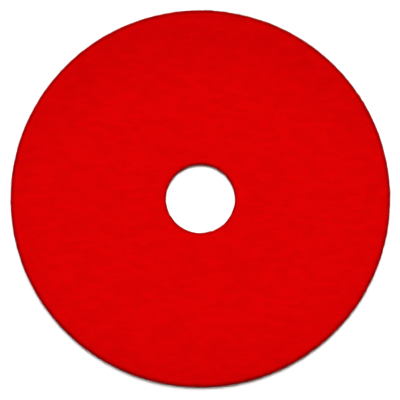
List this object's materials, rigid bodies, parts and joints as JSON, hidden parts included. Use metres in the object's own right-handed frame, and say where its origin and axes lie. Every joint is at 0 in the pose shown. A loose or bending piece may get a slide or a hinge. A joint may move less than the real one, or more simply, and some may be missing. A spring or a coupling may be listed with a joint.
{
  "type": "floor machine pad",
  "caption": "Round red nonwoven fibre pad with an open centre hole, carried flat under a rotary floor machine to buff and spray-clean hard floors.",
  "frame": {"origin": "on the axis of the centre hole, in the plane of the face that lies on the floor", "axes": "+Z along the pad's axis, out of the face that the machine's driver grips; X and Y lie in the pad, with X along the faint grain of the fibre web"},
  "size_m": [0.457, 0.457, 0.025],
  "materials": {
    "red_fibre": "matte"
  },
  "bodies": {
    "root": {"floor_pad": "red_fibre"}
  },
  "joints": []
}
